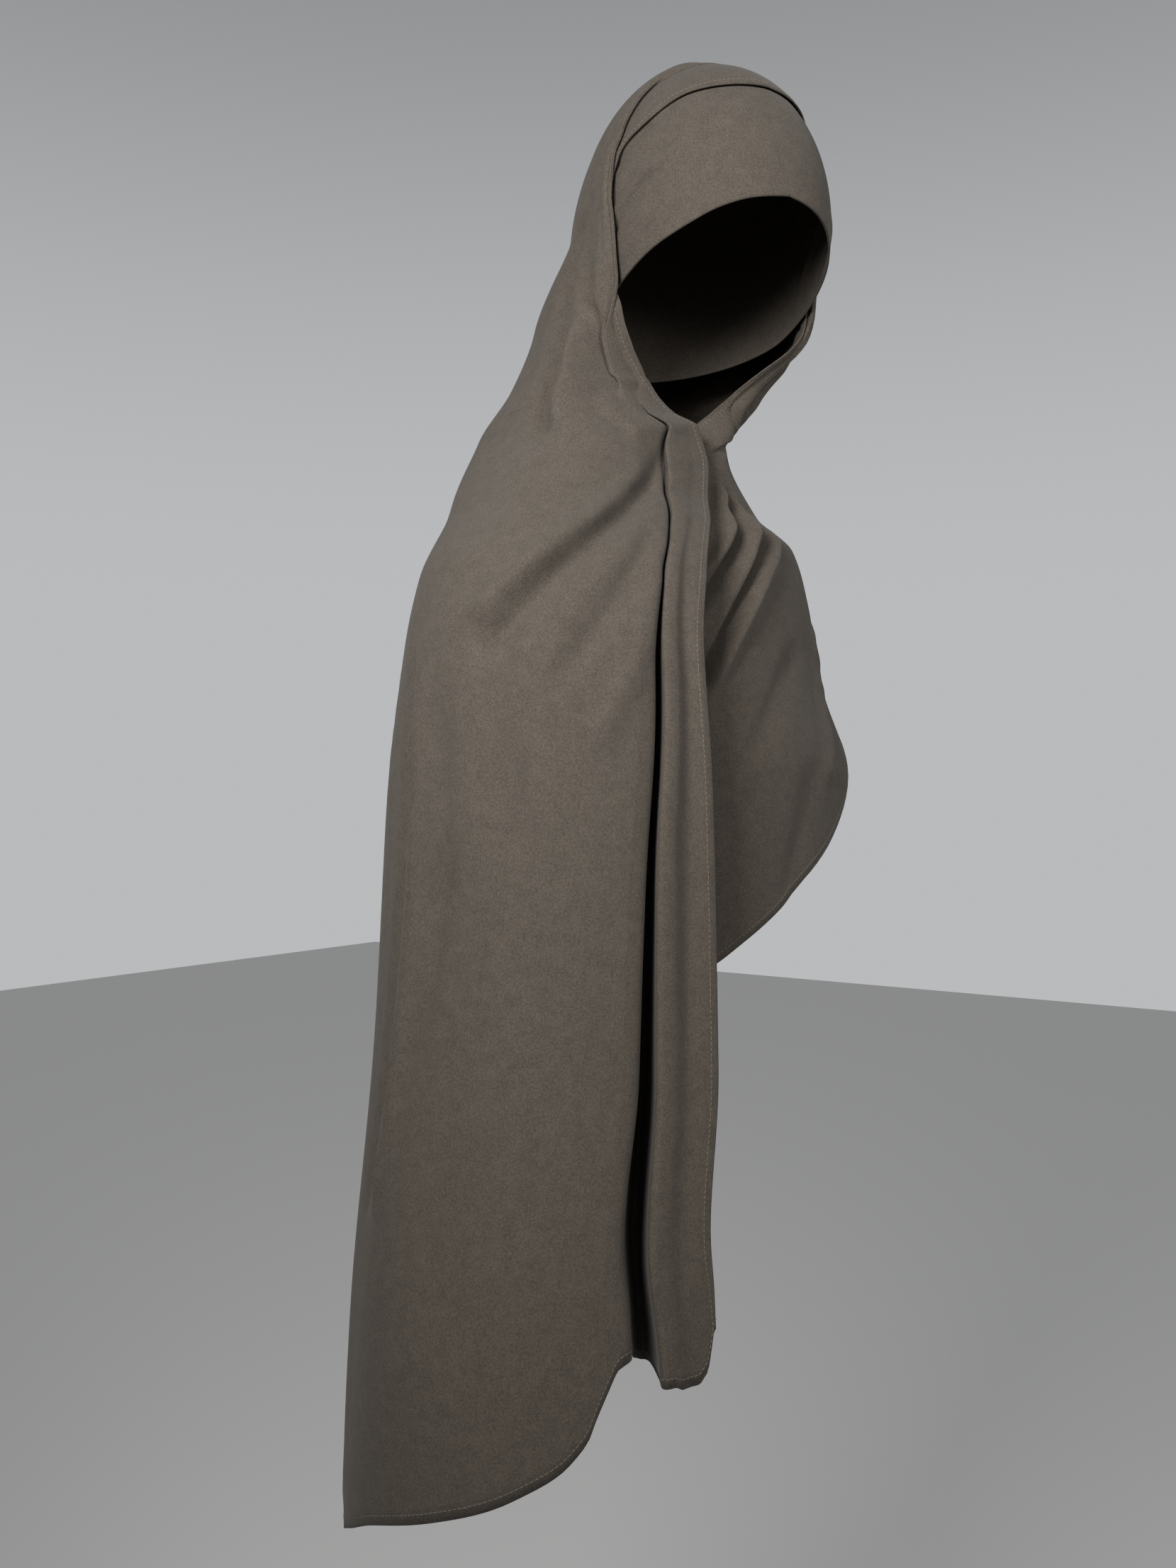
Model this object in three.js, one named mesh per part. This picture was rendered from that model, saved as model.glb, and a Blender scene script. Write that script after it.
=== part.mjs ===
// A long jersey hijab as it hangs when worn: a fitted under-cap that covers the brow and the skull,
// and one large sheet of jersey over it. The sheet frames the face, is folded over itself along the
// temples, gathers under the right jaw and falls as a long panel over the right arm. Its other half
// wraps under the chin and across the chest in soft cowl folds and ends behind the long panel.
//
// Millimetres, +Z up, the wearer looks towards -Y and the wearer's right side is -X. The origin is
// the top of the head, on the inside of the under-cap's crown.
import * as THREE from 'three';

// Driving sizes of the head that the hijab is worn on
const HEAD_WIDTH = 152;
const HEAD_DEPTH = 190;
const HEAD_HEIGHT = 234;
const CROWN_DROP = 106;
const HEAD_TURN = 26;

// Driving sizes of the draped sheet
const SHOULDER_WIDTH = 400;
const BODY_DEPTH = 230;
const SHOULDER_DROP = 339;
const VEIL_DROP = 914;

// Cloth thicknesses and clearances
const CAP_WALL = 1.1;
const VEIL_WALL = 1.1;
const HEM_EXTRA = 0.4;
const LAYER_GAP = 1.2;
const LAYER_PITCH = 1.9;

// How finely the sheet is divided: columns from the front edge to the centre of the back, rows
// from the crown line to the chin and from the chin to the hem
const OUTER_COLUMNS = 19;
const HEAD_ROWS = 14;
const FALL_ROWS = 26;

const rad = THREE.MathUtils.degToRad;
const lerp = THREE.MathUtils.lerp;
const smooth = (x, from, to) => THREE.MathUtils.smoothstep(x, from, to);

// Heights are shares of three spans: crown to chin, chin to shoulder tip, shoulder tip to lowest hem
const HEAD = { top: 0, span: HEAD_HEIGHT };
const NECK = { top: HEAD_HEIGHT, span: SHOULDER_DROP - HEAD_HEIGHT };
const FALL = { top: SHOULDER_DROP, span: VEIL_DROP - SHOULDER_DROP };
const down = (zone, share) => zone.top + share * zone.span;

// Horizontal sections of the drape, from the widest part of the head to the hem. Head rows are
// shares of half the head's width and depth, the others of half the shoulder width and body depth.
// right, left, front, chest, back and under are the section's reach to each side: chest is the left
// half's front, and under is the part of the left half that lies below the right one. fly is how far
// the cloth stands off behind the ears, drape how far it bridges from the left ear to the shoulder,
// shift how far the section's centre lies behind the head's axis, and turn the head's share of turn.
const HEAD_HALF = { across: HEAD_WIDTH / 2, along: HEAD_DEPTH / 2 };
const BODY_HALF = { across: SHOULDER_WIDTH / 2, along: BODY_DEPTH / 2 };
const SECTIONS = [
  {
    name: 'brow', drop: CROWN_DROP, half: HEAD_HALF,
    right: 1, left: 1, front: 1, chest: 1, back: 1, under: 1,
    fly: 0.05, drape: 0.02, shift: 0, turn: 1,
  },
  {
    name: 'ear', drop: down(HEAD, 0.685), half: HEAD_HALF,
    right: 1.1, left: 0.97, front: 0.94, chest: 0.94, back: 1.06, under: 0.9,
    fly: 0.21, drape: 0.12, shift: 0.02, turn: 1,
  },
  {
    name: 'jaw', drop: down(HEAD, 0.872), half: HEAD_HALF,
    right: 1.28, left: 0.7, front: 0.74, chest: 0.62, back: 1.1, under: 0.72,
    fly: 0.14, drape: 0.3, shift: 0.16, turn: 0.8,
  },
  {
    name: 'chin', drop: down(HEAD, 1.02), half: HEAD_HALF,
    right: 1.46, left: 0.56, front: 0.7, chest: 0.46, back: 1.12, under: 0.56,
    fly: 0.1, drape: 0.42, shift: 0.36, turn: 0.6,
  },
  {
    name: 'neck', drop: down(NECK, 0.47), half: BODY_HALF,
    right: 0.71, left: 0.44, front: 0.66, chest: 0.48, back: 0.96, under: 0.34,
    fly: 0.04, drape: 0.34, shift: 0.33, turn: 0.25,
  },
  {
    name: 'collar', drop: down(NECK, 0.66), half: BODY_HALF,
    right: 0.79, left: 0.64, front: 0.77, chest: 0.64, back: 1, under: 0.46,
    fly: 0.01, drape: 0.16, shift: 0.33, turn: 0.15,
  },
  {
    name: 'shoulder', drop: down(FALL, 0), half: BODY_HALF,
    right: 0.93, left: 0.72, front: 0.94, chest: 0.74, back: 1.04, under: 0.6,
    fly: 0.01, drape: 0.05, shift: 0.33, turn: 0.05,
  },
  {
    name: 'arm', drop: down(FALL, 0.1), half: BODY_HALF,
    right: 1.02, left: 0.8, front: 1.04, chest: 0.82, back: 1.11, under: 0.68,
    fly: 0, drape: 0, shift: 0.33, turn: 0,
  },
  {
    name: 'chest', drop: down(FALL, 0.22), half: BODY_HALF,
    right: 1.05, left: 1, front: 1.12, chest: 0.95, back: 1.13, under: 0.72,
    fly: 0, drape: 0, shift: 0.33, turn: 0,
  },
  {
    name: 'waist', drop: down(FALL, 0.48), half: BODY_HALF,
    right: 1.11, left: 1.06, front: 1.2, chest: 1, back: 1.16, under: 0.76,
    fly: 0, drape: 0, shift: 0.33, turn: 0,
  },
  {
    name: 'hip', drop: down(FALL, 0.76), half: BODY_HALF,
    right: 1.2, left: 1.12, front: 1.28, chest: 1.06, back: 1.26, under: 0.8,
    fly: 0, drape: 0, shift: 0.33, turn: 0,
  },
  {
    name: 'hem', drop: down(FALL, 1), half: BODY_HALF,
    right: 1.24, left: 1.16, front: 1.34, chest: 1.12, back: 1.32, under: 0.82,
    fly: 0, drape: 0, shift: 0.33, turn: 0,
  },
].map((row) => ({
  drop: row.drop,
  right: row.right * row.half.across,
  left: row.left * row.half.across,
  under: row.under * row.half.across,
  front: row.front * row.half.along,
  chest: row.chest * row.half.along,
  back: row.back * row.half.along,
  fly: row.fly * row.half.along,
  drape: row.drape * row.half.along,
  shift: row.shift * row.half.along,
  turn: row.turn * HEAD_TURN,
}));

// Smooth value of one column of a table at x, through all rows, without overshooting between them
function along(table, key, column, x) {
  const last = table.length - 1;
  if (x <= table[0][key]) return table[0][column];
  if (x >= table[last][key]) return table[last][column];
  let i = 0;
  while (x > table[i + 1][key]) i += 1;
  const slope = (a, b) => (table[b][column] - table[a][column]) / (table[b][key] - table[a][key]);
  const tangent = (k) => {
    if (k === 0 || k === last) return k === 0 ? slope(0, 1) : slope(last - 1, last);
    const before = slope(k - 1, k);
    const after = slope(k, k + 1);
    return before * after <= 0 ? 0 : 2 * before * after / (before + after);
  };
  const step = table[i + 1][key] - table[i][key];
  const t = (x - table[i][key]) / step;
  const t2 = t * t;
  const t3 = t2 * t;
  return (2 * t3 - 3 * t2 + 1) * table[i][column] + (t3 - 2 * t2 + t) * step * tangent(i)
    + (3 * t2 - 2 * t3) * table[i + 1][column] + (t3 - t2) * step * tangent(i + 1);
}

// Levels run over the crown and down the body: 0 is the top of the head and 1 its widest part, and
// below that each further level is this long
const LEVEL_LENGTH = 176;
const dropOfLevel = (level) => (level < 1
  ? CROWN_DROP * (1 - Math.cos(level * Math.PI / 2))
  : CROWN_DROP + (level - 1) * LEVEL_LENGTH);

// A point on the drape's form. side is 1 for the wearer's right half and -1 for the left, angle is
// measured from straight ahead towards that side, lift is how far the cloth stands off, and hug is
// the share of the form's own size to which the cloth is drawn in
function formPoint(side, angle, level, lift, hug = 1) {
  const drop = dropOfLevel(level);
  const x = Math.max(drop, CROWN_DROP);
  const dome = level < 1 ? Math.sin(level * Math.PI / 2) : 1;
  const fly = along(SECTIONS, 'drop', 'fly', x) * smooth(level, 0.7, 1.15)
    * smooth(Math.abs(angle), 82, 128);
  const bridge = side > 0 ? 0 : along(SECTIONS, 'drop', 'drape', x) * smooth(level, 0.8, 1.15)
    * smooth(angle, 95, 130) * (1 - smooth(angle, 150, 180));
  const size = (column) => along(SECTIONS, 'drop', column, x) * hug + fly + bridge + lift;
  const a = rad(angle);
  let across = size(side > 0 ? 'right' : 'left');
  let ahead = size(side > 0 ? 'front' : 'chest');
  if (side < 0 && angle < 0) across = size('under');
  if (Math.abs(angle) > 90) ahead = size('back');
  const sideways = side * across * dome * Math.sin(a);
  const forwards = ahead * dome * Math.cos(a);
  const shift = along(SECTIONS, 'drop', 'shift', x);
  const turn = rad(along(SECTIONS, 'drop', 'turn', x));
  const crown = level < 1 ? lift * Math.cos(level * Math.PI / 2) : 0;
  return new THREE.Vector3(
    -sideways * Math.cos(turn) - forwards * Math.sin(turn),
    sideways * Math.sin(turn) - forwards * Math.cos(turn) + shift,
    -drop + crown,
  );
}

// Course runs down the sheet: 0 is the line over the top of the head, 1 the line from the jaw round
// the nape, and 2 the hem. The front edge of each half, over the head: where it lies at each share
// of its own length, as an angle and a level. Both halves share it down to the jaw.
const HEAD_EDGE = [
  { share: 0, angle: 0, level: 0.53 },
  { share: 0.15, angle: 27, level: 0.55 },
  { share: 0.26, angle: 46.5, level: 0.575 },
  { share: 0.38, angle: 65, level: 0.665 },
  { share: 0.5, angle: 79.5, level: 0.78 },
  { share: 0.6, angle: 80.5, level: 0.94 },
  { share: 0.69, angle: 78.5, level: 1.08 },
  { share: 0.78, angle: 77, level: 1.23 },
  { share: 0.86, angle: 76, level: 1.36 },
  { share: 0.93, angle: 71, level: 1.46 },
  { share: 1, angle: 60, level: 1.56 },
];

// The back ends of the courses over the head, as levels down the middle of the back
const BACK_LEVEL = { top: 0.6, nape: 1.78 };

// The front edge of each half from the jaw to the hem
const FALL_EDGE = [
  { course: 1, right: 60, rightLevel: 1.56, left: 60, leftLevel: 1.56 },
  { course: 1.03, right: 46, rightLevel: 1.613, left: 46, leftLevel: 1.62 },
  { course: 1.06, right: 23.4, rightLevel: 1.678, left: 22, leftLevel: 1.68 },
  { course: 1.1, right: 5.5, rightLevel: 1.726, left: -4, leftLevel: 1.73 },
  { course: 1.15, right: 5, rightLevel: 1.83, left: -26, leftLevel: 1.8 },
  { course: 1.22, right: 12, rightLevel: 2, left: -44, leftLevel: 1.92 },
  { course: 1.34, right: 27, rightLevel: 2.31, left: -56, leftLevel: 2.16 },
  { course: 1.46, right: 31.5, rightLevel: 2.62, left: -62, leftLevel: 2.46 },
  { course: 1.62, right: 32.3, rightLevel: 3.18, left: -66, leftLevel: 2.86 },
  { course: 1.8, right: 32.4, rightLevel: 3.96, left: -69, leftLevel: 3.32 },
  { course: 1.92, right: 34.2, rightLevel: 4.46, left: -70.5, leftLevel: 3.62 },
  { course: 1.97, right: 33.6, rightLevel: 4.64, left: -70.9, leftLevel: 3.77 },
  { course: 2, right: 33.4, rightLevel: 4.76, left: -71, leftLevel: 3.84 },
];

// The hem of each half, as the level it hangs to at each angle
const RIGHT_HEM = [
  { angle: 33.4, level: 4.76 },
  { angle: 34.3, level: 4.86 },
  { angle: 35.5, level: 4.894 },
  { angle: 36.6, level: 4.916 },
  { angle: 39.5, level: 4.914 },
  { angle: 41, level: 4.9 },
  { angle: 43.3, level: 4.9 },
  { angle: 45.6, level: 4.872 },
  { angle: 46.8, level: 4.832 },
  { angle: 48, level: 4.804 },
  { angle: 50.2, level: 4.818 },
  { angle: 51.8, level: 4.872 },
  { angle: 52.9, level: 4.916 },
  { angle: 53.8, level: 4.952 },
  { angle: 55, level: 5.01 },
  { angle: 56.4, level: 5.047 },
  { angle: 60, level: 5.11 },
  { angle: 66, level: 5.168 },
  { angle: 72, level: 5.215 },
  { angle: 84, level: 5.28 },
  { angle: 101, level: 5.37 },
  { angle: 114, level: 5.475 },
  { angle: 124, level: 5.545 },
  { angle: 150, level: 5.42 },
  { angle: 180, level: 4.9 },
];
const LEFT_HEM = [
  { angle: -71, level: 3.84 },
  { angle: -35, level: 3.68 },
  { angle: -23, level: 3.59 },
  { angle: -7, level: 3.46 },
  { angle: 9, level: 3.3 },
  { angle: 17, level: 3.2 },
  { angle: 26, level: 3.08 },
  { angle: 35, level: 2.95 },
  { angle: 50, level: 2.82 },
  { angle: 80, level: 2.8 },
  { angle: 120, level: 3.5 },
  { angle: 155, level: 4.5 },
  { angle: 180, level: 4.9 },
];

// Eleven stations across the front of the sheet, at marked courses. Over the head they fold the cloth
// back over itself in a Z. Below the jaw they become the narrow strip, the deep valley beside it and
// the edge of the broad panel. in is the distance from the front edge and out the standing height.
const PLEAT = [
  {
    course: 0,
    in: [0, 22, 44, 48, 52, 56, 60, 64, 68, 72, 80],
    out: [0, 0, 0, 0, 0, 0, 0, 0, 0, 0, 0],
  },
  {
    course: 0.14,
    in: [0, 22, 44, 46, 48, 50, 52, 54, 58, 66, 80],
    out: [0, 0, 0, 0.5, 1, 1, 1.5, 2, 2, 2, 1],
  },
  {
    course: 0.34,
    in: [0, 20, 40, 41.3, 40, 28, 26.6, 28, 38, 50, 66],
    out: [0, 0, 0, 0.5, 1, 1, 1.5, 2, 2, 1.8, 1],
  },
  {
    course: 0.5,
    in: [1, 12, 22, 23.3, 22, 5, 3.6, 5, 14, 26, 42],
    out: [0, 0, 0, 0.5, 1, 1, 1.5, 2, 2.2, 1.4, 1.4],
  },
  {
    course: 0.62,
    in: [6, 11, 16, 17.3, 16, 1, -0.4, 1, 9, 22, 36],
    out: [0, 0, 0, 0.5, 1, 1, 1.5, 2, 2.8, 0.6, 1.6],
  },
  {
    course: 0.78,
    in: [5, 9, 14, 15.3, 14, 1, -0.4, 1, 10, 22, 36],
    out: [0, 0, 0, 0.5, 1, 1, 1.5, 2, 3, 0.3, 1.8],
  },
  {
    course: 0.84,
    in: [1, 4, 7, 8, 8, 6, 6, 7, 10, 15, 27],
    out: [0, 0.4, 0.8, 0.6, 0.5, 0.9, 1.5, 2, 2.6, -0.2, 1.8],
  },
  {
    course: 0.9,
    in: [0, 1.5, 3.5, 5, 6.5, 7.5, 9, 10.5, 12, 14.5, 24],
    out: [0, 0.5, 0.9, 0.4, -0.3, 0.5, 1.5, 2.1, 1.6, -1.2, 1.6],
  },
  {
    course: 1,
    in: [0, 1.5, 3, 4.5, 6, 7, 8.5, 10, 11.5, 13.5, 22],
    out: [0, 0.6, 1.2, 0.5, -0.4, 0.5, 1.6, 2.1, 1.4, -1.2, 1.2],
  },
  {
    course: 1.08,
    in: [0, 8, 16, 24, 30, 30, 30, 32, 35, 40, 49],
    out: [0, 0.5, 0.8, 1.2, 1.3, 0.1, -1.4, -1, 0.1, 0, 1],
  },
  {
    course: 1.17,
    in: [0, 11, 20, 31, 42, 41.6, 41.4, 43.6, 46, 51, 59],
    out: [0, 0.2, 0.4, 1.2, 1.5, -0.2, -2.8, -2.6, -0.4, 0.6, 1.2],
  },
  {
    course: 1.32,
    in: [0, 8.5, 19, 27.5, 35, 34.4, 34, 36, 38.4, 43, 52],
    out: [0, 0.2, 0, 1.6, 1.2, -1, -3.8, -3.4, -0.4, 1, 1.6],
  },
  {
    course: 1.48,
    in: [0, 5, 14, 22, 30, 28.8, 28, 31.4, 35, 38, 47],
    out: [0, 0.2, -1, 1.6, 1.2, -3, -8, -8, -2.6, 0.6, 1.8],
  },
  {
    course: 1.66,
    in: [0, 5.5, 18.5, 29.5, 38, 36.4, 35, 40, 44.5, 47, 57],
    out: [0, 0.2, -1.2, 1.8, 1, -5, -14, -14, -5, 0, 1.6],
  },
  {
    course: 1.84,
    in: [0, 6, 19.5, 30.5, 40, 38.4, 37, 44, 51, 54, 64],
    out: [0, 0.2, -0.6, 1.6, 1, -6, -18, -19, -7, 0, 1.6],
  },
  {
    course: 2,
    in: [0, 5.5, 18, 28, 38, 36.6, 35.5, 46, 57, 61, 72.5],
    out: [0, 0.2, 0, 1.4, 1, -6, -19, -20, -8, 0, 1.4],
  },
];
const STATIONS = PLEAT[0].in.length;

// Soft folds of the sheet beyond the stations: each runs from one place by a second to a third, given
// as angle and level, is so many millimetres wide and stands out (or sinks in, below zero) by height
const FOLDS = [
  {
    name: 'valley below the head', side: 1,
    angles: [94, 106, 84], levels: [1.12, 1.39, 1.78], width: 13, height: -4,
  },
  {
    name: 'ridge beside it', side: 1,
    angles: [84, 83, 66], levels: [1.3, 1.53, 1.76], width: 12, height: 2.5,
  },
  {
    name: 'fold from the knot', side: 1,
    angles: [30, 61, 84], levels: [1.88, 2.15, 2.45], width: 13, height: 4,
  },
  {
    name: 'valley under it', side: 1,
    angles: [33, 57, 79], levels: [2, 2.29, 2.64], width: 14, height: -7,
  },
  {
    name: 'hollow below the arm', side: 1,
    angles: [79, 78, 76], levels: [2.5, 2.8, 3.2], width: 18, height: -4,
  },
  {
    name: 'valley behind the arm', side: 1,
    angles: [109, 106, 112], levels: [2.5, 3.3, 4.4], width: 14, height: -4,
  },
  {
    name: 'broad hollow over the arm', side: 1,
    angles: [88, 90, 88], levels: [3.2, 3.7, 4.6], width: 34, height: -4,
  },
  {
    name: 'long ridge behind the arm', side: 1,
    angles: [124, 126, 127], levels: [2.6, 3.8, 5.4], width: 18, height: 5,
  },
  {
    name: 'hollow behind it', side: 1,
    angles: [140, 140, 138], levels: [2.4, 3.8, 5.4], width: 24, height: -11,
  },
  {
    name: 'ridge down the back', side: 1,
    angles: [160, 158, 154], levels: [2.2, 3.6, 5.2], width: 22, height: 8,
  },
  {
    name: 'upper cowl hollow', side: -1,
    angles: [17, 5.5, -28], levels: [1.92, 2.1, 2.34], width: 11, height: -9,
  },
  {
    name: 'upper cowl ridge', side: -1,
    angles: [30, -5, -29], levels: [1.96, 2.22, 2.56], width: 9, height: 5,
  },
  {
    name: 'lower cowl hollow', side: -1,
    angles: [26, -10, -30], levels: [2.08, 2.38, 2.82], width: 10, height: -4,
  },
  {
    name: 'fold over the left arm', side: -1,
    angles: [31, 27, 14], levels: [2.38, 2.66, 3], width: 10, height: 4,
  },
  {
    name: 'left back hollow', side: -1,
    angles: [118, 124, 134], levels: [2, 2.8, 3.6], width: 24, height: -8,
  },
  {
    name: 'left back ridge', side: -1,
    angles: [140, 146, 150], levels: [2, 3, 4.2], width: 24, height: 9,
  },
];

// Height of all the soft folds at one place of one half
function foldHeight(side, angle, level) {
  let sum = 0;
  for (const fold of FOLDS) {
    if (fold.side !== side) continue;
    let nearest = Infinity;
    let at = 0;
    for (let i = 0; i <= 16; i += 1) {
      const t = i / 16;
      const mix = (list) => (1 - t) ** 2 * list[0] + 2 * t * (1 - t) * list[1] + t * t * list[2];
      const sideways = (angle - mix(fold.angles)) * 2.6;
      const upwards = (level - mix(fold.levels)) * LEVEL_LENGTH;
      const away = Math.hypot(sideways, upwards);
      if (away < nearest) {
        nearest = away;
        at = t;
      }
    }
    const profile = Math.exp(-((nearest / fold.width) ** 2));
    const fade = smooth(at, -0.02, 0.2) * (1 - smooth(at, 0.8, 1.3) * 0.6);
    sum += fold.height * profile * fade;
  }
  return sum;
}

// Where a place of the sheet lies before folding. side picks the half, share runs from the front
// edge to the middle of the back, and course runs down
function layOut(side, share, course) {
  const key = side > 0 ? 'right' : 'left';
  const hem = side > 0 ? RIGHT_HEM : LEFT_HEM;
  if (course >= 1) {
    const edge = along(FALL_EDGE, 'course', key, course);
    const edgeLevel = along(FALL_EDGE, 'course', `${key}Level`, course);
    const hemEdge = FALL_EDGE[FALL_EDGE.length - 1][key];
    const spread = lerp(FALL_EDGE[0][key], hemEdge, smooth(course, 1, 1.55));
    const angle = lerp(lerp(edge, spread, smooth(share, 0.05, 0.5)), 180, share);
    const r = course - 1;
    const bottom = along(hem, 'angle', 'level', angle);
    const start = lerp(1.66, BACK_LEVEL.nape, share);
    const even = lerp(start, bottom, r * (0.55 + 0.45 * r));
    const near = lerp(0.3, 0.012, smooth(r, 0.7, 1));
    return { angle, level: lerp(edgeLevel, even, smooth(share / near, 0, 1) ** 0.8) };
  }
  const flat = (angle, level) => new THREE.Vector2(Math.sin(rad(angle)), Math.cos(rad(angle)))
    .multiplyScalar(level);
  const edgeAt = (t) => flat(
    along(HEAD_EDGE, 'share', 'angle', t),
    along(HEAD_EDGE, 'share', 'level', t),
  );
  const backAt = (t) => flat(180, lerp(BACK_LEVEL.top, BACK_LEVEL.nape, t));
  const seamAt = (s) => new THREE.Vector2(0, lerp(HEAD_EDGE[0].level, -BACK_LEVEL.top, s));
  const napeAt = (s) => {
    const place = layOut(side, s, 1);
    return flat(place.angle, place.level);
  };
  const s = share;
  const t = course;
  const point = seamAt(s).multiplyScalar(1 - t)
    .add(napeAt(s).multiplyScalar(t))
    .add(edgeAt(t).multiplyScalar(1 - s))
    .add(backAt(t).multiplyScalar(s))
    .sub(seamAt(0).multiplyScalar((1 - s) * (1 - t)))
    .sub(seamAt(1).multiplyScalar(s * (1 - t)))
    .sub(napeAt(0).multiplyScalar((1 - s) * t))
    .sub(napeAt(1).multiplyScalar(s * t));
  const angle = THREE.MathUtils.radToDeg(Math.atan2(Math.abs(point.x), point.y));
  return { angle, level: Math.max(point.length(), 0.001) };
}

// How far the cloth is drawn in towards the face's edge and the chin, as a share of the form's size,
// and the share of the sheet over which that grows back to 1
const HUG = [
  { course: 0, right: 1, rightReach: 0.1, left: 1, leftReach: 0.1 },
  { course: 0.6, right: 1, rightReach: 0.1, left: 1, leftReach: 0.1 },
  { course: 0.69, right: 0.96, rightReach: 0.1, left: 1, leftReach: 0.1 },
  { course: 0.78, right: 0.89, rightReach: 0.1, left: 0.985, leftReach: 0.1 },
  { course: 0.86, right: 0.78, rightReach: 0.1, left: 0.9, leftReach: 0.1 },
  { course: 0.93, right: 0.64, rightReach: 0.1, left: 0.74, leftReach: 0.1 },
  { course: 1, right: 0.5, rightReach: 0.11, left: 0.56, leftReach: 0.12 },
  { course: 1.03, right: 0.47, rightReach: 0.14, left: 0.48, leftReach: 0.15 },
  { course: 1.06, right: 0.52, rightReach: 0.17, left: 0.45, leftReach: 0.18 },
  { course: 1.1, right: 0.64, rightReach: 0.2, left: 0.46, leftReach: 0.2 },
  { course: 1.15, right: 0.76, rightReach: 0.24, left: 0.52, leftReach: 0.22 },
  { course: 1.22, right: 0.84, rightReach: 0.28, left: 0.64, leftReach: 0.22 },
  { course: 1.34, right: 0.92, rightReach: 0.3, left: 0.8, leftReach: 0.22 },
  { course: 1.46, right: 0.97, rightReach: 0.3, left: 0.9, leftReach: 0.22 },
  { course: 1.62, right: 1, rightReach: 0.3, left: 0.93, leftReach: 0.22 },
  { course: 2, right: 1, rightReach: 0.3, left: 0.92, leftReach: 0.22 },
];

// The middle of the cloth at one column (0 at the front edge, 1 at the back) and course
const REST_LIFT = CAP_WALL + LAYER_GAP + VEIL_WALL / 2;
function clothPoint(side, column, columns, course) {
  const before = layOut(side, 0, course);
  const after = layOut(side, 0.08, course);
  const half = side > 0 ? 'right' : 'left';
  const drawn = along(HUG, 'course', half, course);
  const reach = along(HUG, 'course', `${half}Reach`, course);
  const length = formPoint(side, before.angle, before.level, 0)
    .distanceTo(formPoint(side, after.angle, after.level, 0)) / 0.08;
  const station = Math.min(column, STATIONS - 1);
  const pleat = PLEAT.map((row) => ({ course: row.course, in: row.in[station], out: row.out[station] }));
  const last = along(pleat, 'course', 'in', course) / length;
  let share = last;
  let out = along(pleat, 'course', 'out', course) * LAYER_PITCH;
  if (side < 0) {
    const open = smooth(course, 1.02, 1.2);
    share = lerp(last, (column / columns) ** 1.25, open);
    out *= 1 - open;
  }
  if (column >= STATIONS) {
    const t = (column - STATIONS + 1) / (columns - STATIONS + 1);
    const even = side < 0 ? smooth(course, 1.02, 1.2) : 0;
    share = lerp(lerp(last, 1, t), (column / columns) ** 1.25, even);
    out *= (1 - smooth(t, 0, 0.3));
  }
  const place = layOut(side, Math.max(share, 0), course);
  if (share < 0) place.angle += share * 100;
  const hug = lerp(drawn, 1, smooth(share / reach, 0, 1));
  const under = side < 0 ? -6 * (1 - smooth(place.angle, -30, 30)) * smooth(course, 1.1, 1.3) : 0;
  const folds = foldHeight(side, place.angle, place.level) * smooth(column, STATIONS - 4.5, STATIONS - 3);
  const leftFolds = side < 0 ? foldHeight(side, place.angle, place.level) * smooth(course, 1.05, 1.2) : 0;
  const lift = REST_LIFT + out + under + (side < 0 ? leftFolds : folds);
  return formPoint(side, place.angle, place.level, lift, hug);
}

// Turns a mid-surface of vertices and quads into a closed wall. thickness gives each vertex its own
function thicken(points, quads, thickness) {
  const normals = points.map(() => new THREE.Vector3());
  for (const quad of quads) {
    const a = points[quad[2]].clone().sub(points[quad[0]]);
    const b = points[quad[3]].clone().sub(points[quad[1]]);
    const n = a.cross(b);
    for (const i of quad) normals[i].add(n);
  }
  normals.forEach((n) => n.normalize());
  const count = points.length;
  const position = [];
  for (const sign of [0.5, -0.5]) {
    points.forEach((p, i) => {
      const skin = p.clone().addScaledVector(normals[i], sign * thickness[i]);
      position.push(...skin.toArray());
    });
  }
  const index = [];
  const uses = new Map();
  for (const [a, b, c, d] of quads) {
    const shorter = points[a].distanceTo(points[c]) <= points[b].distanceTo(points[d]);
    const [p, q, r, s] = shorter ? [a, b, c, d] : [b, c, d, a];
    index.push(p, q, r, p, r, s);
    index.push(count + p, count + r, count + q, count + p, count + s, count + r);
    for (const [from, to] of [[a, b], [b, c], [c, d], [d, a]]) {
      const back = `${to},${from}`;
      if (uses.has(back)) uses.delete(back);
      else uses.set(`${from},${to}`, [from, to]);
    }
  }
  for (const [p, q] of uses.values()) index.push(q, p, count + p, q, count + p, count + q);
  const geometry = new THREE.BufferGeometry();
  geometry.setAttribute('position', new THREE.Float32BufferAttribute(position, 3));
  geometry.setIndex(index);
  geometry.computeVertexNormals();
  return geometry;
}

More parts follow.
